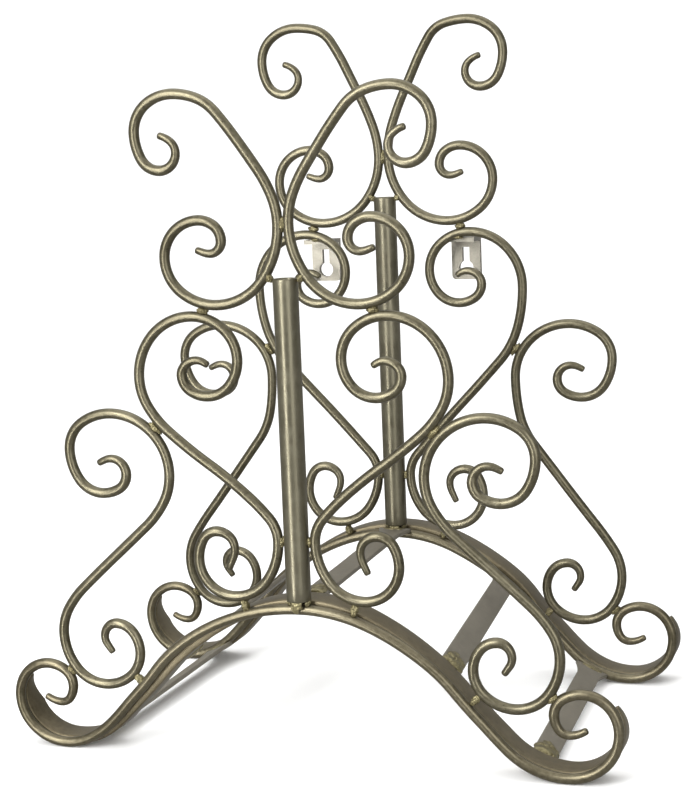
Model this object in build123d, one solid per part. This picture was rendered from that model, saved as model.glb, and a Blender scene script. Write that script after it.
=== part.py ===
from build123d import *
import math
import os

# Scrolled wrought-iron wall holder: two open scroll panels joined by cross straps.
# Millimetres. The origin is on the ground under the middle of the holder. X runs
# along the panels, -Y is the front, +Y is the wall side and Z is up.

# Bar stock
ROD_D = 6.4            # round bar of the scrolls and the arches, 1/4 in
TIP_D = 4.4            # the same bar where it is drawn down at a scroll's end
STRIP_W = 20.0         # flat strip behind each arch rod, along Y
STRIP_T = 6.0
STRIP_END_W = 4.0      # the strip narrows to this at its ends, around the volutes
STRIP_END_X = 175.0    # its ends lie beyond this
STRIP_END_Z = (22.0, 46.0)
STRAP_W = 15.0         # flat cross straps, along the arch
STRAP_T = 3.0

CUT_DEPTH = 30.0

# Panels
PANEL_PITCH = 200.0    # between the rod planes of the two panels
APEX_Z = {"front": 96.0, "back": 98.6}         # arch rod centre at the middle
STRIP_APEX_Z = {"front": 98.3, "back": 101.4}  # strip centre at the middle

# Centre posts
POST_D = 15.0
POST_WALL = 1.5
POST_TOP = {"front": 293.5, "back": 331.0}
POST_GAP = 0.2         # between the post's foot and the strip

# Keyhole tabs in the wall plane, each bent forward at the top under a middle scroll
TAB_X = 50.5
TAB_W = 20.0
TAB_LOW, TAB_HIGH = 273.0, 302.6
TAB_T = 4.0
TAB_CORNER = 3.0
FLANGE_T = 3.0
HOLE_R = 5.0           # round part, over the screw's head
HOLE_Z = 281.0
SLOT_W = 5.0           # narrow part, around the screw's shank
SLOT_TOP = 295.0

# Cross straps: where each meets the front strip and the back rod, along X
STRAPS = {
    "middle": (0.0, 0.0),
    "inner_right": (85.0, 78.0), "inner_left": (-85.0, -78.0),
    "outer_right": (140.5, 136.0), "outer_left": (-140.5, -136.0),
}

STRAP_FRONT = ROD_D / 2 + STRIP_W - PANEL_PITCH / 2    # rear edge of the front strip
STRAP_BACK = (PANEL_PITCH - ROD_D) / 2                 # front of the back arch rod
STRAP_SLACK = 1.5                                      # clearance for the skewed ends

# Weld beads, in the plane of the rods
BEAD_R = 3.4
SMALL_BEAD_R = 2.4
WIDE_BEAD_R = 4.2
LUMP = (17.0, 24.0, 9.0)       # weld lump on a strap's front end
LUMP_CORNER = 4.0
SEAM = (20.0, 8.0, 5.0)        # smaller weld at its back end
SEAM_CORNER = 2.0
WELD_REACH = 2.0               # how far a strap's welds reach past its ends

# Volutes of the right-hand half: x, z and heading in degrees (0 is +X, 90 is up).
# Both panels use the same ones; only the straight runs between them differ.
C_UPPER = [(74.5, 378.0, 195), (65.0, 368.0, 270), (75.5, 357.7, 0), (91.0, 380.0, 90), (66.5, 402.0, 180)]
C_LOWER = [(44.0, 278.2, 0), (75.5, 306.0, 90), (53.0, 328.2, 180), (39.0, 316.0, 270), (46.5, 308.5, 0),
           (54.0, 310.5, 20)]
M_UPPER = [(52.0, 243.0, 35), (58.5, 245.4, 0), (68.3, 236.5, 270), (52.5, 223.8, 180), (32.3, 246.0, 90),
           (60.5, 271.6, 0), (96.2, 235.0, 270)]
M_LOWER = [(11.6, 137.0, 270), (41.0, 102.4, 0), (63.0, 124.5, 90), (50.5, 142.0, 180), (39.5, 132.0, 270),
           (43.5, 120.0, 295)]
O_UPPER = [(125.5, 182.5, 150), (117.8, 185.0, 180), (108.3, 175.5, 270), (124.5, 163.5, 0),
           (145.5, 190.0, 90), (117.0, 212.8, 180), (79.8, 176.5, 270)]
O_LOWER = [(157.0, 74.0, 270), (130.0, 42.6, 180), (105.6, 64.4, 90), (120.5, 81.8, 0), (129.0, 73.0, 270),
           (124.5, 64.0, 235)]

# Each arch rod: its two legs, bent by hand and not quite alike, and the volute they end in
LEG_RIGHT = [(79.6, 64.7, 321), (107.6, 35.2, 314), (123.7, 18.4, 315)]
LEG_LEFT = [(81.9, 67.4, 321), (109.8, 37.4, 314), (125.8, 20.0, 314)]
VOLUTE_FOOT = [(160.0, 3.2, 0), (190.3, 32.0, 90), (186.3, 45.0, 125)]
VOLUTE_CURL = [(169.5, 53.8, 180), (152.8, 40.5, 270), (161.5, 29.2, 0), (171.0, 32.2, 32)]
# The strips run a little lower than the rods and end on the outside of the volutes
STRIP_LEG = {
    "front": [(75.7, 66.3, 321), (107.0, 34.7, 314), (123.5, 18.0, 315)],
    "back": [(77.8, 69.5, 321), (107.0, 36.5, 314), (123.5, 19.0, 315)],
}

# How far the back panel's volutes stand from the front panel's, along X and Z
LIFT = {
    "front": {"c_upper": (0, 0), "c_lower": (0, 0), "m_upper": (0, 0), "m_lower": (0, 0), "o_upper": (0, 0)},
    "back": {"c_upper": (-6.5, 44.5), "c_lower": (0, 36), "m_upper": (-2.4, 35), "m_lower": (0, 2.9),
             "o_upper": (7.6, 31.6)},
}
# Straight runs between the volutes
RUN = {
    "front": {"c": [(39.0, 390.5, 230), (14.5, 357.0, 236), (3.3, 325.0, 270)],
              "m": [(79.4, 202.8, 221), (28.0, 162.5, 222)],
              "o": [(97.0, 143.5, 318), (141.0, 104.0, 317)]},
    "back": {"c": [(34.5, 436.5, 237), (15.5, 400.0, 244), (3.3, 358.0, 270)],
             "m": [(77.0, 219.5, 228), (29.0, 168.0, 228)],
             "o": [(99.0, 163.0, 307), (140.0, 109.0, 308)]},
}

# Weld beads between the rods, right-hand half and middle: x, z and radius
BEADS = {
    "front": [(0.0, 325.0, BEAD_R), (52.7, 274.9, BEAD_R), (87.0, 204.4, BEAD_R), (152.5, 50.5, BEAD_R),
              (107.0, 47.2, WIDE_BEAD_R), (34.5, 97.0, WIDE_BEAD_R), (8.4, 137.0, SMALL_BEAD_R),
              (9.0, 294.0, BEAD_R), (6.0, 99.4, SMALL_BEAD_R)],
    "back": [(0.0, 358.0, BEAD_R), (51.9, 310.5, BEAD_R), (88.1, 227.4, BEAD_R), (152.5, 50.5, BEAD_R),
             (107.0, 47.2, WIDE_BEAD_R), (34.5, 99.8, WIDE_BEAD_R), (8.4, 139.9, SMALL_BEAD_R),
             (8.6, 331.0, BEAD_R), (6.0, 102.2, SMALL_BEAD_R), (TAB_X, 303.0, SMALL_BEAD_R)],
}


def moved(nodes, shift):
    return [(x + shift[0], z + shift[1], heading) for x, z, heading in nodes]


def mirrored(nodes):
    """The left-hand path, run the same way along the bar."""
    return [(-x, z, 180 - heading) for x, z, heading in nodes]


def reversed_nodes(nodes):
    return [(x, z, heading + 180) for x, z, heading in reversed(nodes)]


def scroll_nodes(panel):
    """The right-hand paths of a panel's three kinds of scroll."""
    lift, run = LIFT[panel], RUN[panel]
    return {
        "c_scroll": moved(C_UPPER, lift["c_upper"]) + run["c"] + moved(C_LOWER, lift["c_lower"]),
        "middle_scroll": moved(M_UPPER, lift["m_upper"]) + run["m"] + moved(M_LOWER, lift["m_lower"]),
        "outer_scroll": moved(O_UPPER, lift["o_upper"]) + run["o"] + O_LOWER,
    }


def point(x, z):
    return Vector(x, 0, z)


def direction(heading):
    a = math.radians(heading)
    return Vector(math.cos(a), 0, math.sin(a))


def biarc(a, b):
    """Two tangent arcs from node a to node b."""
    p, q = point(a[0], a[1]), point(b[0], b[1])
    tp, tq = direction(a[2]), direction(b[2])
    chord = q - p
    across = chord.dot(tp + tq)
    turn = 2 * (1 - tp.dot(tq))
    if turn < 1e-6:
        reach = chord.dot(chord) / (4 * chord.dot(tq))
    else:
        reach = (math.sqrt(across**2 + turn * chord.dot(chord)) - across) / turn
    joint = (p + q + (tp - tq) * reach) * 0.5
    middle = ((q - tq * reach) - (p + tp * reach)).normalized()
    return [TangentArc(p, joint, tangent=tp), TangentArc(joint, q, tangent=middle)]


def bar_path(nodes):
    edges = []
    for a, b in zip(nodes[:-1], nodes[1:]):
        edges += biarc(a, b)
    return Wire(edges)


def round_bar(nodes):
    path = bar_path(nodes)
    section = Plane(origin=path @ 0, z_dir=path % 0) * Circle(ROD_D / 2)
    return sweep(section, path=path)


def drawn_tip(nodes):
    """The last stretch of a bar, drawn down towards its rounded end."""
    path = bar_path(nodes)
    start = Plane(origin=path @ 0, z_dir=path % 0) * Circle(ROD_D / 2)
    end = Plane(origin=path @ 1, z_dir=path % 1) * Circle(TIP_D / 2)
    tip = sweep([start, end], path=path, multisection=True)
    return tip + Pos(*(path @ 1)) * Sphere(TIP_D / 2)


def scroll(nodes):
    """A bar with a volute at each end, both ends drawn down."""
    return round_bar(nodes[2:-2]) + drawn_tip(reversed_nodes(nodes[:3])) + drawn_tip(nodes[-3:])


def arch_rod(panel):
    top = [(0.0, APEX_Z[panel], 0)]
    ends = VOLUTE_FOOT + VOLUTE_CURL
    return scroll(reversed_nodes(mirrored(LEG_LEFT + ends)) + top + LEG_RIGHT + ends)


def strip_half(panel):
    return [(0.0, STRIP_APEX_Z[panel], 0)] + STRIP_LEG[panel] + VOLUTE_FOOT


def strip_end_cut(x):
    """What is cut off the back of a strip's end, from x on."""
    front, back = ROD_D / 2 + STRIP_END_W, ROD_D / 2 + STRIP_W + 1
    low, high = STRIP_END_Z
    outline = Polygon((back, low), (back, high * 2), (front, high * 2), (front, high), align=None)
    return Pos(x, 0, 0) * extrude(Plane.YZ * outline, CUT_DEPTH)


def arch_strip(panel):
    """The flat strip behind a panel's arch rod."""
    half = strip_half(panel)
    path = bar_path(reversed_nodes(mirrored(half)) + half[1:])
    plane = Plane(origin=path @ 0, x_dir=(0, 1, 0), z_dir=path % 0)
    section = plane * Pos((ROD_D + STRIP_W) / 2, 0) * Rectangle(STRIP_W, STRIP_T)
    strip = sweep(section, path=path)
    return strip - strip_end_cut(STRIP_END_X) - strip_end_cut(-STRIP_END_X - CUT_DEPTH)


def post(panel):
    """The centre post: an open tube standing on the arch."""
    foot = STRIP_APEX_Z[panel] + STRIP_T / 2 + POST_GAP
    tube = Circle(POST_D / 2) - Circle(POST_D / 2 - POST_WALL)
    return Pos(0, 0, foot) * extrude(tube, POST_TOP[panel] - foot)


def strip_place(panel, x):
    """Height of a panel's strip at x, and its slope there in degrees."""
    path = bar_path(strip_half(panel)[:5])
    low, high = 0.0, 1.0
    for _ in range(30):
        middle = (low + high) / 2
        if (path @ middle).X < abs(x):
            low = middle
        else:
            high = middle
    tangent = path % low
    slope = math.degrees(math.atan2(tangent.Z, tangent.X))
    return (path @ low).Z, slope if x >= 0 else -slope


def strap_frame(ends):
    """A frame at the middle of a strap, Y along it and X along the arch, with its length."""
    front_z, front_slope = strip_place("front", ends[0])
    back_z, back_slope = strip_place("back", ends[1])
    start = Vector(ends[0], STRAP_FRONT, front_z)
    end = Vector(ends[1], STRAP_BACK, back_z)
    slope = math.radians((front_slope + back_slope) / 2)
    along = (end - start).normalized()
    across = Vector(math.cos(slope), 0, math.sin(slope))
    up = across.cross(along).normalized()
    plane = Plane(origin=(start + end) * 0.5, x_dir=along.cross(up), z_dir=up)
    return plane, (end - start).length


def cross_strap(ends):
    """A flat bar from the front strip to the back arch rod, lying along the arch."""
    plane, length = strap_frame(ends)
    return plane * Box(STRAP_W, length - STRAP_SLACK, STRAP_T)


def rounded_block(size, corner):
    block = Box(*size)
    return fillet(block.edges(), corner)


def strap_welds():
    """A lump on each strap's front end and a seam at its back end."""
    lump = rounded_block(LUMP, LUMP_CORNER)
    seam = rounded_block(SEAM, SEAM_CORNER)
    out = []
    for ends in STRAPS.values():
        plane, length = strap_frame(ends)
        out.append(plane * Pos(0, (LUMP[1] - length) / 2 - WELD_REACH, 0) * lump)
        out.append(plane * Pos(0, (length - SEAM[1]) / 2 + WELD_REACH, 0) * seam)
    return Compound(out)


def panel_welds(panel):
    out = []
    for x, z, radius in BEADS[panel]:
        for side in (1, -1) if x else (1,):
            out.append(Pos(side * x, 0, z) * Sphere(radius))
    return Compound(out)


def keyhole_tab(x):
    """A plate in the wall plane with a keyhole for a screw, bent forward at its top."""
    back = PANEL_PITCH / 2 + ROD_D / 2 + STRIP_W
    height = TAB_HIGH - TAB_LOW
    plate = Pos(0, 0, TAB_LOW + height / 2) * Box(TAB_W, TAB_T, height)
    lower = plate.edges().filter_by(Axis.Y).group_by(Axis.Z)[0]
    plate = fillet(lower, TAB_CORNER)
    flange = Pos(0, (TAB_T - STRIP_W) / 2, TAB_HIGH - FLANGE_T / 2) * Box(TAB_W, STRIP_W, FLANGE_T)
    hole = Pos(0, 0, HOLE_Z) * Rot(90, 0, 0) * Cylinder(HOLE_R, TAB_T * 2)
    slot = Pos(0, 0, (HOLE_Z + SLOT_TOP) / 2) * Box(SLOT_W, TAB_T * 2, SLOT_TOP - HOLE_Z)
    return Pos(x, back - TAB_T / 2, 0) * (plate + flange - hole - slot)


def write(name, shape):
    """Save one piece, moved forward so that the whole holder is centred on the origin."""
    placed = Pos(0, (POST_D / 2 - ROD_D / 2 - STRIP_W) / 2, 0) * shape
    export_step(placed, os.path.join("parts", name + ".step"))


def write_panel(panel, y):
    """Every piece of one panel, its rods in the plane at y."""
    place = Pos(0, y, 0)
    for part, nodes in scroll_nodes(panel).items():
        write(f"{panel}_{part}_right", place * scroll(nodes))
        write(f"{panel}_{part}_left", place * scroll(mirrored(nodes)))
    write(f"{panel}_arch_rod", place * arch_rod(panel))
    write(f"{panel}_arch_strip", place * arch_strip(panel))
    write(f"{panel}_post", place * post(panel))
    write(f"{panel}_welds", place * panel_welds(panel))


os.makedirs("parts", exist_ok=True)
write_panel("front", -PANEL_PITCH / 2)
write_panel("back", PANEL_PITCH / 2)
for name, ends in STRAPS.items():
    write(f"cross_strap_{name}", cross_strap(ends))
write("strap_welds", strap_welds())
write("keyhole_tab_right", keyhole_tab(TAB_X))
write("keyhole_tab_left", keyhole_tab(-TAB_X))
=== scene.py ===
import math

import bmesh
import bpy
from mathutils import Matrix, Vector, noise


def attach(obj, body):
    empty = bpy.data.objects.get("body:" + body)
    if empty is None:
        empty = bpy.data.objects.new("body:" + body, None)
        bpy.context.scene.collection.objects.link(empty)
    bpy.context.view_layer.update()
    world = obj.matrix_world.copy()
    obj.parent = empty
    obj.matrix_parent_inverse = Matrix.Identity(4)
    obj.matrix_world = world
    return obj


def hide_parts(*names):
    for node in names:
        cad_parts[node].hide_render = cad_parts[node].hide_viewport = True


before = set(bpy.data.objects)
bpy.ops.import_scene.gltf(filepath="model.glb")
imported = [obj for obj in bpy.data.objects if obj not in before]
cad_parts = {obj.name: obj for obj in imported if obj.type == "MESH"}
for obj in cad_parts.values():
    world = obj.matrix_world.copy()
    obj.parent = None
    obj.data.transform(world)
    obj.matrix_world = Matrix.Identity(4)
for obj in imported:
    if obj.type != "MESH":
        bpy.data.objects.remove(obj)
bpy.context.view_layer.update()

MM = 0.001
BODY = "root"

# ---------------------------------------------------------------- bar stock, mm
ROD_R = 3.2
TIP_R = 2.15
STRIP_W = 20.0
STRIP_T = 6.0
STRIP_END_W = 4.0                              # it narrows to this at its ends, around the volutes
STRIP_END_X = 175.0                            # the ends lie beyond this
STRIP_END_Z = (22.0, 46.0)
STRIP_CORNER = 1.1
STRAP_W = 15.0
STRAP_T = 3.0
STRAP_CORNER = 0.7
STRAP_GAP = 0.8                                # between a strap's end and its arch
FLARE_LENGTH = 18.0                            # a strap spreads over this much of its back end
FLARE = 0.55
PANEL_Y = {"front": -107.85, "back": 92.15}    # planes of the rods
APEX_Z = {"front": 96.0, "back": 98.6}
STRIP_APEX_Z = {"front": 98.3, "back": 101.4}
POST_R = 7.5
POST_BORE = 6.0
POST_TOP = {"front": 293.5, "back": 331.0}
POST_GAP = 0.2                                 # between the post's foot and the strip
POST_SIDES = 48
POST_STEPS = 40
BEAD_DEPTH = 3.7                               # half a weld bead's size along Y
BEAD_RIPPLES = 5
FRONT_LUMP = (8.4, 11.9, 4.4)                  # half sizes of the welds on a strap's two ends
BACK_LUMP = (9.8, 3.9, 2.45)

# How far hand work leaves the metal uneven, kept inside the CAD solids
BAR_SIDES = 20
BAR_FIT = 0.992                                # share of the radius that a hammered bar keeps
HAMMER = 0.012                                 # share of the radius that the hammer moves
TIP_CAP = ((0.62, 0.35), (0.58, 0.62), (0.42, 0.86))    # a tip's round end: reach and size in tip radii
STRIP_FIT = 0.97
STRIP_WAVE = 0.15
STRAP_BOW = 0.1
STRAPS = {
    "middle": (0.0, 0.0),
    "inner_right": (85.0, 78.0), "inner_left": (-85.0, -78.0),
    "outer_right": (140.5, 136.0), "outer_left": (-140.5, -136.0),
}
STRAP_FRONT = PANEL_Y["front"] + ROD_R + STRIP_W
STRAP_BACK = PANEL_Y["back"] - ROD_R

# Volutes of the right-hand half: x, z and heading in degrees (0 is +X, 90 is up)
C_UPPER = [(74.5, 378.0, 195), (65.0, 368.0, 270), (75.5, 357.7, 0), (91.0, 380.0, 90),
           (66.5, 402.0, 180)]
C_LOWER = [(44.0, 278.2, 0), (75.5, 306.0, 90), (53.0, 328.2, 180), (39.0, 316.0, 270),
           (46.5, 308.5, 0), (54.0, 310.5, 20)]
M_UPPER = [(52.0, 243.0, 35), (58.5, 245.4, 0), (68.3, 236.5, 270), (52.5, 223.8, 180),
           (32.3, 246.0, 90), (60.5, 271.6, 0), (96.2, 235.0, 270)]
M_LOWER = [(11.6, 137.0, 270), (41.0, 102.4, 0), (63.0, 124.5, 90), (50.5, 142.0, 180),
           (39.5, 132.0, 270), (43.5, 120.0, 295)]
O_UPPER = [(125.5, 182.5, 150), (117.8, 185.0, 180), (108.3, 175.5, 270), (124.5, 163.5, 0),
           (145.5, 190.0, 90), (117.0, 212.8, 180), (79.8, 176.5, 270)]
O_LOWER = [(157.0, 74.0, 270), (130.0, 42.6, 180), (105.6, 64.4, 90), (120.5, 81.8, 0),
           (129.0, 73.0, 270), (124.5, 64.0, 235)]
# Each arch rod: its two legs, bent by hand and not quite alike, and the volute they end in
LEG_RIGHT = [(79.6, 64.7, 321), (107.6, 35.2, 314), (123.7, 18.4, 315)]
LEG_LEFT = [(81.9, 67.4, 321), (109.8, 37.4, 314), (125.8, 20.0, 314)]
VOLUTE_FOOT = [(160.0, 3.2, 0), (190.3, 32.0, 90), (186.3, 45.0, 125)]
VOLUTE_CURL = [(169.5, 53.8, 180), (152.8, 40.5, 270), (161.5, 29.2, 0), (171.0, 32.2, 32)]
# The strips run a little lower than the rods and end on the outside of the volutes
STRIP_LEG = {
    "front": [(75.7, 66.3, 321), (107.0, 34.7, 314), (123.5, 18.0, 315)],
    "back": [(77.8, 69.5, 321), (107.0, 36.5, 314), (123.5, 19.0, 315)],
}

# How far the back panel's volutes stand from the front panel's, along X and Z
LIFT = {
    "front": {"c_upper": (0, 0), "c_lower": (0, 0), "m_upper": (0, 0), "m_lower": (0, 0),
              "o_upper": (0, 0)},
    "back": {"c_upper": (-6.5, 44.5), "c_lower": (0, 36), "m_upper": (-2.4, 35), "m_lower": (0, 2.9),
             "o_upper": (7.6, 31.6)},
}
# Straight runs between the volutes
RUN = {
    "front": {"c": [(39.0, 390.5, 230), (14.5, 357.0, 236), (3.3, 325.0, 270)],
              "m": [(79.4, 202.8, 221), (28.0, 162.5, 222)],
              "o": [(97.0, 143.5, 318), (141.0, 104.0, 317)]},
    "back": {"c": [(34.5, 436.5, 237), (15.5, 400.0, 244), (3.3, 358.0, 270)],
             "m": [(77.0, 219.5, 228), (29.0, 168.0, 228)],
             "o": [(99.0, 163.0, 307), (140.0, 109.0, 308)]},
}

# Weld beads of the right-hand half and the middle: x, z, heading of the seam, length, width
BEADS = {
    "front": [(0.0, 325.0, 90, 11.0, 5.0), (52.7, 274.9, 8, 8.5, 5.0), (87.0, 204.4, 45, 11.0, 5.0),
              (152.5, 50.5, 45, 8.5, 5.0), (107.0, 47.2, 48, 10.5, 5.6), (34.5, 97.0, 75, 9.5, 5.6),
              (8.6, 137.0, 90, 7.0, 4.6), (10.2, 294.0, 50, 8.0, 5.0), (5.5, 100.4, 60, 6.0, 4.0)],
    "back": [(0.0, 358.0, 90, 11.0, 5.0), (51.9, 310.5, 8, 8.5, 5.0), (88.1, 227.4, 55, 11.0, 5.0),
             (152.5, 50.5, 45, 8.5, 5.0), (107.0, 47.2, 48, 10.5, 5.6), (34.5, 99.8, 75, 9.5, 5.6),
             (8.6, 139.9, 90, 7.0, 4.6), (9.2, 331.0, 50, 8.0, 5.0), (5.5, 103.4, 60, 6.0, 4.0),
             (50.5, 303.0, 0, 8.0, 3.4)],
}

# The viewpoint: degrees from straight in front, the lens in mm and the place in metres
AZIMUTH, ELEVATION, ROLL = 18.74, 8.29, -2.25
LENS = 84.2
CAMERA_AT = (0.3784, -1.1246, 0.3789)
# Area lights: place, what it points at, width and height in metres, power in watts
CENTRE = (0.0, 0.0, 0.22)
LIGHTS = {
    "key": ((-0.9, -1.9, 1.5), CENTRE, (1.2, 1.2), 44),
    "tall": ((-0.55, -1.30, 0.25), (0.0, 0.0, 0.25), (0.22, 1.4), 20),
    "fill": ((1.3, -1.6, 0.6), CENTRE, (0.9, 1.6), 20),
    "top": ((0.0, 0.3, 2.6), CENTRE, (3.4, 3.4), 70),
}
WORLD_LIGHT = 0.42
# The backdrop: where its floor begins and ends, its bend's radius, its top and half its width
FLOOR_FRONT, FLOOR_BACK = -4.0, 1.6
BEND_R = 0.9
BEND_STEPS = 12
BACKDROP_TOP = 4.0
BACKDROP_HALF = 5.0


# ---------------------------------------------------------------- paths

def moved(nodes, shift):
    return [(x + shift[0], z + shift[1], heading) for x, z, heading in nodes]


def mirrored(nodes):
    return [(-x, z, 180 - heading) for x, z, heading in nodes]


def reversed_nodes(nodes):
    return [(x, z, heading + 180) for x, z, heading in reversed(nodes)]


def scroll_nodes(panel):
    lift, run = LIFT[panel], RUN[panel]
    return {
        "c_scroll": moved(C_UPPER, lift["c_upper"]) + run["c"] + moved(C_LOWER, lift["c_lower"]),
        "middle_scroll": moved(M_UPPER, lift["m_upper"]) + run["m"] + moved(M_LOWER, lift["m_lower"]),
        "outer_scroll": moved(O_UPPER, lift["o_upper"]) + run["o"] + O_LOWER,
    }


def heading_vector(heading):
    a = math.radians(heading)
    return Vector((math.cos(a), math.sin(a)))


def arc_points(p, q, t, step):
    """Points after p to q on the arc that leaves p along t."""
    chord = q - p
    half = math.atan2(t.x * chord.y - t.y * chord.x, t.dot(chord))
    if abs(half) < 1e-5:
        n = max(1, math.ceil(chord.length / step))
        return [p + chord * (k / n) for k in range(1, n + 1)]
    radius = chord.length / (2 * math.sin(half))
    centre = p + Vector((-t.y, t.x)) * radius
    n = max(2, math.ceil(abs(radius * 2 * half) / step), math.ceil(abs(half) / 0.09))
    return [centre + Matrix.Rotation(2 * half * k / n, 2) @ (p - centre) for k in range(1, n + 1)]


def path_points(nodes, step=2.2):
    """The tangent arcs through the nodes, as points."""
    points = [Vector(nodes[0][:2])]
    for a, b in zip(nodes[:-1], nodes[1:]):
        p, q = Vector(a[:2]), Vector(b[:2])
        tp, tq = heading_vector(a[2]), heading_vector(b[2])
        chord = q - p
        across = chord.dot(tp + tq)
        turn = 2 * (1 - tp.dot(tq))
        if turn < 1e-6:
            reach = chord.dot(chord) / (4 * chord.dot(tq))
        else:
            reach = (math.sqrt(across**2 + turn * chord.dot(chord)) - across) / turn
        joint = (p + q + (tp - tq) * reach) * 0.5
        middle = ((q - tq * reach) - (p + tp * reach)).normalized()
        points += arc_points(p, joint, tp, step)
        points += arc_points(joint, q, middle, step)
    return points


def arch_rod_nodes(panel):
    ends = VOLUTE_FOOT + VOLUTE_CURL
    return reversed_nodes(mirrored(LEG_LEFT + ends)) + [(0.0, APEX_Z[panel], 0)] + LEG_RIGHT + ends


def strip_half(panel):
    return [(0.0, STRIP_APEX_Z[panel], 0)] + STRIP_LEG[panel] + VOLUTE_FOOT


def strip_nodes(panel):
    half = strip_half(panel)
    return reversed_nodes(mirrored(half)) + half[1:]


def tangents(points):
    out = []
    for k in range(len(points)):
        a, b = points[max(0, k - 1)], points[min(len(points) - 1, k + 1)]
        out.append((b - a).normalized())
    return out


def lengths(points):
    out = [0.0]
    for a, b in zip(points[:-1], points[1:]):
        out.append(out[-1] + (b - a).length)
    return out


# ---------------------------------------------------------------- meshes

def new_object(name, bm):
    mesh = bpy.data.meshes.new(name)
    bmesh.ops.recalc_face_normals(bm, faces=bm.faces)
    bm.to_mesh(mesh)
    bm.free()
    for polygon in mesh.polygons:
        polygon.use_smooth = True
    obj = bpy.data.objects.new(name, mesh)
    bpy.context.scene.collection.objects.link(obj)
    return obj


def finish_piece(obj, material, node):
    """Gives a piece its material and puts it in the place of its CAD node."""
    obj.data.materials.append(material)
    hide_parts(node)
    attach(obj, BODY)


def skin(bm, rings, closed_ends=True):
    """Faces between rings of vertices, with a fan over each end."""
    count = len(rings[0])
    for a, b in zip(rings[:-1], rings[1:]):
        for k in range(count):
            bm.faces.new((a[k], a[(k + 1) % count], b[(k + 1) % count], b[k]))
    if closed_ends:
        bm.faces.new(rings[0])
        bm.faces.new(list(reversed(rings[-1])))


def to_world(x, z, y):
    return Vector((x * MM, y * MM, z * MM))


def round_bar(name, nodes, y, taper=2):
    """A hammered round bar along the nodes, drawn down over its first and last spans."""
    points = path_points(nodes)
    tans = tangents(points)
    s = lengths(points)
    head = lengths(path_points(nodes[:taper + 1]))[-1]
    tail = lengths(path_points(nodes[-taper - 1:]))[-1]
    total = s[-1]
    bm = bmesh.new()
    rings = []

    def ring(p, t, radius, along=0.0):
        normal = Vector((-t.y, t.x))
        out = []
        for k in range(BAR_SIDES):
            a = 2 * math.pi * k / BAR_SIDES
            spot = Vector((p.x * 0.09 + 3 * math.cos(a), p.y * 0.09, y * 0.07 + 3 * math.sin(a)))
            r = radius * (BAR_FIT + HAMMER * noise.noise(spot))
            c = p + t * along + normal * (math.cos(a) * r)
            out.append(bm.verts.new(to_world(c.x, c.y, y + math.sin(a) * r)))
        rings.append(out)

    for beyond, scale in TIP_CAP:
        ring(points[0], tans[0], TIP_R * scale, -beyond * TIP_R)
    for p, t, at in zip(points, tans, s):
        near = min(at / head, (total - at) / tail, 1.0)
        ring(p, t, TIP_R + (ROD_R - TIP_R) * near)
    for beyond, scale in reversed(TIP_CAP):
        ring(points[-1], tans[-1], TIP_R * scale, beyond * TIP_R)
    skin(bm, rings)
    return new_object(name, bm)


def flat_section(width, thick, corner):
    """A flat bar's section with softened edges, as (across, through) pairs."""
    w, h = width / 2, thick / 2
    out = []
    for cx, cy, start in ((w - corner, h - corner, 0), (-w + corner, h - corner, 90),
                          (-w + corner, -h + corner, 180), (w - corner, -h + corner, 270)):
        for k in range(4):
            a = math.radians(start + 30 * k)
            out.append((cx + corner * math.cos(a), cy + corner * math.sin(a)))
    return out


def strip_share(p):
    """How much of the strip's width is left at p: it narrows around the volutes."""
    low, high = STRIP_END_Z
    if abs(p.x) < STRIP_END_X or p.y < low:
        return 1.0
    return 1.0 - (1.0 - STRIP_END_W / STRIP_W) * min(1.0, (p.y - low) / (high - low))


def flat_strip(name, nodes, y):
    """A flat bar bent along the nodes, its width across the panel and its front edge at y."""
    points = path_points(nodes)
    tans = tangents(points)
    bm = bmesh.new()
    rings = []
    section = flat_section(STRIP_W, STRIP_T, STRIP_CORNER)
    last = len(points) - 1
    for index, (p, t) in enumerate(zip(points, tans)):
        normal = Vector((-t.y, t.x))
        wave = STRIP_WAVE * noise.noise(Vector((p.x * 0.03, p.y * 0.03, y)))
        narrow = 0.93 if index in (0, last) else 1.0
        ring = []
        for across, through in section:
            c = p + normal * (through * STRIP_FIT * narrow + wave * 0.5)
            ring.append(bm.verts.new(to_world(c.x, c.y, y + (across + STRIP_W / 2) * strip_share(p))))
        rings.append(ring)
    skin(bm, rings)
    return new_object(name, bm)


def strip_place(panel, x):
    """Height of a panel's strip at x, and its slope there in radians."""
    points = path_points(strip_half(panel)[:5], 0.5)
    tans = tangents(points)
    k = min(range(len(points)), key=lambda i: abs(points[i].x - abs(x)))
    slope = math.atan2(tans[k].y, tans[k].x)
    return points[k].y, slope if x >= 0 else -slope


def strap_matrix(ends):
    """A frame at the middle of a strap, Y along it and X along the arch, and its length."""
    front_z, front_slope = strip_place("front", ends[0])
    back_z, back_slope = strip_place("back", ends[1])
    start = Vector((ends[0], STRAP_FRONT, front_z))
    end = Vector((ends[1], STRAP_BACK, back_z))
    slope = (front_slope + back_slope) / 2
    along = (end - start).normalized()
    up = Vector((math.cos(slope), 0, math.sin(slope))).cross(along).normalized()
    across = along.cross(up)
    turn = Matrix((across, along, up)).transposed().to_4x4()
    return Matrix.Translation((start + end) * (0.5 * MM)) @ turn, (end - start).length


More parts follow.
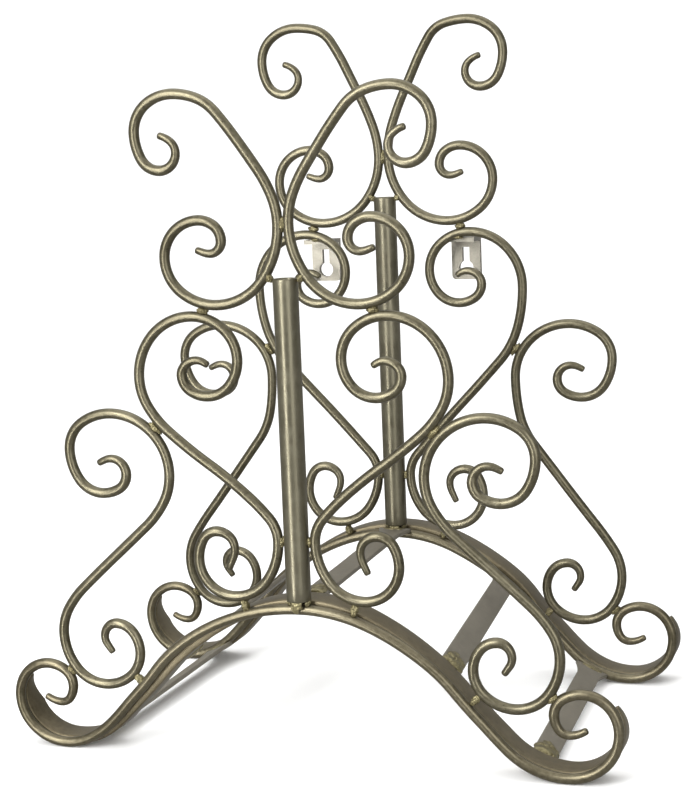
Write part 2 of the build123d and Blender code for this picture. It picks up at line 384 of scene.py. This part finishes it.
def strap(name, ends):
    """A flat bar between the two arches, a little uneven from the hammer, flared at its back end."""
    place, length = strap_matrix(ends)
    reach = length / 2 - STRAP_GAP
    section = flat_section(STRAP_W, STRAP_T, STRAP_CORNER)
    bm = bmesh.new()
    rings = []
    steps = 60
    for index in range(steps + 1):
        along = -reach + 2 * reach * index / steps
        bow = STRAP_BOW * noise.noise(Vector((along * 0.03, ends[0], 0.0)))
        flare = 1 + FLARE * max(0.0, (along - reach + FLARE_LENGTH) / FLARE_LENGTH) ** 2
        ring = []
        for across, through in section:
            corner = Vector((across * flare * MM, along * MM, (through + bow) * MM))
            ring.append(bm.verts.new(place @ corner))
        rings.append(ring)
    skin(bm, rings)
    return new_object(name, bm)


def post(name, panel):
    """An open tube with a rolled rim at the top and a pinched foot."""
    foot, top = STRIP_APEX_Z[panel] + STRIP_T / 2 + POST_GAP, POST_TOP[panel]
    rise = top - foot - 2.0
    profile = [(POST_R - 1.0, foot), (POST_R - 0.3, foot + 0.3), (POST_R, foot + 1.2)]
    profile += [(POST_R, foot + 1.2 + rise * k / POST_STEPS) for k in range(1, POST_STEPS + 1)]
    profile += [(POST_R - 0.25, top - 0.2), (POST_R - 0.75, top), (POST_BORE + 0.2, top - 0.2),
                (POST_BORE, top - 1.0), (POST_BORE, foot + 0.4)]
    bm = bmesh.new()
    rings = []
    for r, z in profile:
        ring = []
        for k in range(POST_SIDES):
            a = 2 * math.pi * k / POST_SIDES
            spot = Vector((math.cos(a) * 2, math.sin(a) * 2, z * 0.02))
            out = r * (1 - 0.004 * abs(noise.noise(spot)))
            ring.append(bm.verts.new(to_world(math.cos(a) * out, z, PANEL_Y[panel] + math.sin(a) * out)))
        rings.append(ring)
    rings.append(rings[0])
    skin(bm, rings, closed_ends=False)
    return new_object(name, bm)


def add_bead(bm, place, half, ripples, seed):
    """A weld bead with the ripples of its run and a ragged skirt. half is its half sizes in mm."""
    made = bmesh.ops.create_icosphere(bm, subdivisions=4, radius=1.0)
    for vert in made["verts"]:
        d = vert.co.normalized()
        ripple = 1 + 0.10 * math.cos((d.x + 0.35 * d.z * d.z) * ripples * math.pi) * (1 - d.x * d.x)
        lump = 1 + 0.30 * noise.noise(d * 1.5 + Vector((seed, 0, 0)))
        lump += 0.14 * noise.noise(d * 4 + Vector((0, seed, 0)))
        ragged = 1 + 0.30 * noise.noise(Vector((d.x * 3, d.z * 3, seed))) * (1 - abs(d.y))
        k = min(ripple * lump * ragged, 1.2) / 1.2
        vert.co = place @ (Vector((d.x * half[0], d.y * half[1], d.z * half[2])) * (k * MM))


def panel_welds(name, panel):
    """Beads in the grooves between the bars of one panel, on both of its faces."""
    bm = bmesh.new()
    seed = PANEL_Y[panel]
    for x, z, heading, length, width in BEADS[panel]:
        for side in (1, -1) if x else (1,):
            seed += 1.7
            tilt = -math.radians(heading if side > 0 else 180 - heading)
            place = (Matrix.Translation((side * x * MM, PANEL_Y[panel] * MM, z * MM))
                     @ Matrix.Rotation(tilt, 4, "Y"))
            add_bead(bm, place, (length / 2, BEAD_DEPTH, width / 2), BEAD_RIPPLES, seed)
    drop = Matrix.Translation((0, (PANEL_Y[panel] - 4.4) * MM, (APEX_Z[panel] + 4.0) * MM))
    add_bead(bm, drop @ Matrix.Rotation(math.pi / 2, 4, "Y"), (6.0, 2.6, 3.9), 3, seed + 3)
    return new_object(name, bm)


def add_lump(bm, place, half, seed):
    """A heavy, blistered lump of weld with runs and pits. half is its half sizes in mm."""
    made = bmesh.ops.create_icosphere(bm, subdivisions=6, radius=1.0)
    shift = Vector((seed * 3.1, seed, 0))
    for vert in made["verts"]:
        d = vert.co.normalized()
        box = 1 / (abs(d.x)**2.4 + abs(d.y)**2.4 + abs(d.z)**2.4)**(1 / 2.4)
        runs = 0.05 * math.sin(d.y * 9 + 3 * noise.noise(d * 1.3 + shift))
        blister = 0.16 * noise.noise(d * 1.6 + shift) + 0.05 * abs(noise.noise(d * 3.5 + shift))
        hollow = math.exp(-((d.x - 0.35)**2 + (d.y - 0.75)**2 + (d.z - 0.5)**2) / 0.05)
        pit = max(0.0, noise.noise(d * 4.0 + Vector((0, 0, seed))) - 0.25)
        k = box * min(0.86 + blister + runs - 0.4 * pit - 0.30 * hollow, 1.0)
        c = Vector((d.x * (1 - 0.18 * d.y), d.y, d.z)) * k
        c.x = max(-1.0, min(1.0, c.x))
        vert.co = place @ (Vector((c.x * half[0], c.y * half[1], c.z * half[2])) * MM)


def strap_welds(name):
    """A big lump on each strap's front end and a small one on its back end."""
    bm = bmesh.new()
    seed = 0.0
    for ends in STRAPS.values():
        seed += 2.3
        place, length = strap_matrix(ends)
        front_end = Matrix.Translation((0, (10.0 - length / 2) * MM, 0))
        back_end = Matrix.Translation((0, (length / 2 - 2.0) * MM, 0))
        add_lump(bm, place @ front_end, FRONT_LUMP, seed)
        add_lump(bm, place @ back_end, BACK_LUMP, seed + 0.9)
    return new_object(name, bm)


# ---------------------------------------------------------------- materials

# Where the three tones of a metal lie on its noise, and how much of that is clouds and how much grit
DARK_AT, MID_AT, LIGHT_AT = 0.32, 0.5, 0.70
CLOUD_SHARE, SPECK_SHARE = 0.55, 0.45
SPECK_HEIGHT = 0.35            # of the grit, beside the hammer marks
RELIEF = 0.6                   # height of the bump, mm


def metal(name, dark, mid, light, rough, metallic, grain, bump):
    """Lacquered metal in three tones: clouds, fine grit and hammer marks, with uneven gloss."""
    material = bpy.data.materials.new(name)
    material.use_nodes = True
    nodes, links = material.node_tree.nodes, material.node_tree.links
    shader = nodes["Principled BSDF"]
    shader.inputs["Metallic"].default_value = metallic
    shader.inputs["Specular IOR Level"].default_value = 0.5
    place = nodes.new("ShaderNodeTexCoord").outputs["Object"]

    def noise_node(scale, detail, roughness):
        node = nodes.new("ShaderNodeTexNoise")
        node.inputs["Scale"].default_value = scale
        node.inputs["Detail"].default_value = detail
        node.inputs["Roughness"].default_value = roughness
        links.new(place, node.inputs["Vector"])
        return node.outputs["Fac"]

    cloud = noise_node(scale=14.0, detail=5.0, roughness=0.6)
    speck = noise_node(scale=grain, detail=4.0, roughness=0.7)
    hammer = noise_node(scale=85.0, detail=2.0, roughness=0.4)

    ramp = nodes.new("ShaderNodeValToRGB")
    ramp.color_ramp.elements[0].position = DARK_AT
    ramp.color_ramp.elements[0].color = (*dark, 1)
    ramp.color_ramp.elements[1].position = LIGHT_AT
    ramp.color_ramp.elements[1].color = (*light, 1)
    middle = ramp.color_ramp.elements.new(MID_AT)
    middle.color = (*mid, 1)
    mix = nodes.new("ShaderNodeMath")
    mix.operation = "MULTIPLY_ADD"
    mix.inputs[1].default_value = CLOUD_SHARE
    links.new(cloud, mix.inputs[0])
    grit = nodes.new("ShaderNodeMath")
    grit.operation = "MULTIPLY"
    grit.inputs[1].default_value = SPECK_SHARE
    links.new(speck, grit.inputs[0])
    links.new(grit.outputs[0], mix.inputs[2])
    links.new(mix.outputs[0], ramp.inputs["Fac"])
    links.new(ramp.outputs["Color"], shader.inputs["Base Color"])

    gloss = nodes.new("ShaderNodeMapRange")
    gloss.inputs["From Min"].default_value = 0.3
    gloss.inputs["From Max"].default_value = 0.7
    gloss.inputs["To Min"].default_value = rough - 0.07
    gloss.inputs["To Max"].default_value = rough + 0.10
    links.new(speck, gloss.inputs["Value"])
    links.new(gloss.outputs["Result"], shader.inputs["Roughness"])

    height = nodes.new("ShaderNodeMath")
    height.operation = "MULTIPLY_ADD"
    height.inputs[1].default_value = SPECK_HEIGHT
    links.new(speck, height.inputs[0])
    links.new(hammer, height.inputs[2])
    relief = nodes.new("ShaderNodeBump")
    relief.inputs["Strength"].default_value = bump
    relief.inputs["Distance"].default_value = RELIEF * MM
    links.new(height.outputs[0], relief.inputs["Height"])
    links.new(relief.outputs["Normal"], shader.inputs["Normal"])
    return material


BRONZE = metal("bronze_bar", (0.060, 0.052, 0.031), (0.112, 0.100, 0.064), (0.175, 0.158, 0.108),
               0.33, 0.82, 380.0, 0.30)
ARCH = metal("bronze_arch", (0.066, 0.056, 0.032), (0.122, 0.106, 0.067), (0.190, 0.169, 0.113),
             0.35, 0.82, 380.0, 0.30)
STRIP = metal("bronze_strip", (0.068, 0.054, 0.028), (0.130, 0.108, 0.064), (0.190, 0.162, 0.104),
              0.42, 0.7, 320.0, 0.30)
# The post: the bars' bronze painted lighter in all three tones, most in the dark one, as painted light
# for the sheen the tube catches
POST_PAINTED_LIGHT = metal("bronze_post_painted_light", (0.095, 0.086, 0.058), (0.140, 0.128, 0.088), (0.185, 0.170, 0.120),
             0.35, 0.80, 90.0, 0.02)
STRAP = metal("pewter_strap", (0.125, 0.112, 0.086), (0.172, 0.156, 0.122), (0.220, 0.202, 0.160),
              0.5, 0.45, 320.0, 0.30)
PLATE = metal("pewter_plate", (0.130, 0.122, 0.096), (0.210, 0.197, 0.162), (0.300, 0.282, 0.235),
              0.42, 0.7, 320.0, 0.25)
WELD = metal("weld_metal", (0.060, 0.048, 0.022), (0.165, 0.142, 0.072), (0.300, 0.272, 0.150),
             0.40, 0.65, 200.0, 0.30)


# ---------------------------------------------------------------- the holder

for panel in ("front", "back"):
    y = PANEL_Y[panel]
    for part, nodes in scroll_nodes(panel).items():
        for side, way in (("right", nodes), ("left", mirrored(nodes))):
            name = f"{panel}_{part}_{side}"
            finish_piece(round_bar(name + "_bar", way, y), BRONZE, name)
    name = f"{panel}_arch_rod"
    finish_piece(round_bar(name + "_bar", arch_rod_nodes(panel), y), ARCH, name)
    name = f"{panel}_arch_strip"
    finish_piece(flat_strip(name + "_bar", strip_nodes(panel), y + ROD_R), STRIP, name)
    name = f"{panel}_post"
    finish_piece(post(name + "_tube", panel), POST_PAINTED_LIGHT, name)
    name = f"{panel}_welds"
    finish_piece(panel_welds(name + "_beads", panel), WELD, name)

for place, ends in STRAPS.items():
    name = f"cross_strap_{place}"
    finish_piece(strap(name + "_bar", ends), STRAP, name)
finish_piece(strap_welds("strap_welds_lumps"), WELD, "strap_welds")

for side in ("right", "left"):
    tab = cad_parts[f"keyhole_tab_{side}"]
    tab.data.materials.clear()
    tab.data.materials.append(PLATE)
    soften = tab.modifiers.new("soften", "BEVEL")
    soften.width = 0.6 * MM
    soften.segments = 3
    soften.limit_method = "ANGLE"


# ---------------------------------------------------------------- studio

def stage_material(name, colour, rough):
    material = bpy.data.materials.new(name)
    material.use_nodes = True
    shader = material.node_tree.nodes["Principled BSDF"]
    shader.inputs["Base Color"].default_value = (*colour, 1)
    shader.inputs["Roughness"].default_value = rough
    return material


def sweep_floor():
    """A pale floor that curves up into a backdrop."""
    bm = bmesh.new()
    profile = [(FLOOR_FRONT, 0.0), (FLOOR_BACK, 0.0)]
    for k in range(1, BEND_STEPS + 1):
        a = math.radians(90 * k / BEND_STEPS)
        profile.append((FLOOR_BACK + BEND_R * math.sin(a), BEND_R - BEND_R * math.cos(a)))
    profile.append((FLOOR_BACK + BEND_R, BACKDROP_TOP))
    rings = [[bm.verts.new((x, y, z)) for x in (-BACKDROP_HALF, BACKDROP_HALF)] for y, z in profile]
    for a, b in zip(rings[:-1], rings[1:]):
        bm.faces.new((a[0], a[1], b[1], b[0]))
    floor = new_object("studio_floor", bm)
    floor.data.materials.append(stage_material("studio_paper", (0.93, 0.93, 0.925), 0.9))
    floor.visible_glossy = False


def area_light(name, location, target, size, power):
    data = bpy.data.lights.new(name, "AREA")
    data.shape = "RECTANGLE"
    data.size, data.size_y = size
    data.energy = power
    light = bpy.data.objects.new(name, data)
    light.location = location
    light.rotation_euler = (Vector(target) - Vector(location)).to_track_quat("-Z", "Y").to_euler()
    bpy.context.scene.collection.objects.link(light)


def camera():
    """A camera in front of the holder, a little to its right and above it."""
    azimuth, elevation, roll = math.radians(AZIMUTH), math.radians(ELEVATION), math.radians(ROLL)
    forward = Vector((-math.sin(azimuth) * math.cos(elevation), math.cos(azimuth) * math.cos(elevation),
                      -math.sin(elevation)))
    level = forward.cross(Vector((0, 0, 1))).normalized()
    plumb = level.cross(forward)
    right = level * math.cos(roll) + plumb * math.sin(roll)
    up = plumb * math.cos(roll) - level * math.sin(roll)
    data = bpy.data.cameras.new("photo_camera")
    data.sensor_width = 36.0
    data.lens = LENS
    data.clip_start = 0.01
    cam = bpy.data.objects.new("photo_camera", data)
    turn = Matrix((right, up, -forward)).transposed()
    cam.matrix_world = Matrix.Translation(CAMERA_AT) @ turn.to_4x4()
    bpy.context.scene.collection.objects.link(cam)
    bpy.context.scene.camera = cam


sweep_floor()
camera()
for name, (location, target, size, power) in LIGHTS.items():
    area_light(name, location, target, size, power)
world = bpy.data.worlds.new("studio")
bpy.context.scene.world = world
world.use_nodes = True
world.node_tree.nodes["Background"].inputs["Color"].default_value = (1, 1, 1, 1)
world.node_tree.nodes["Background"].inputs["Strength"].default_value = WORLD_LIGHT
bpy.context.scene.view_settings.view_transform = "Standard"
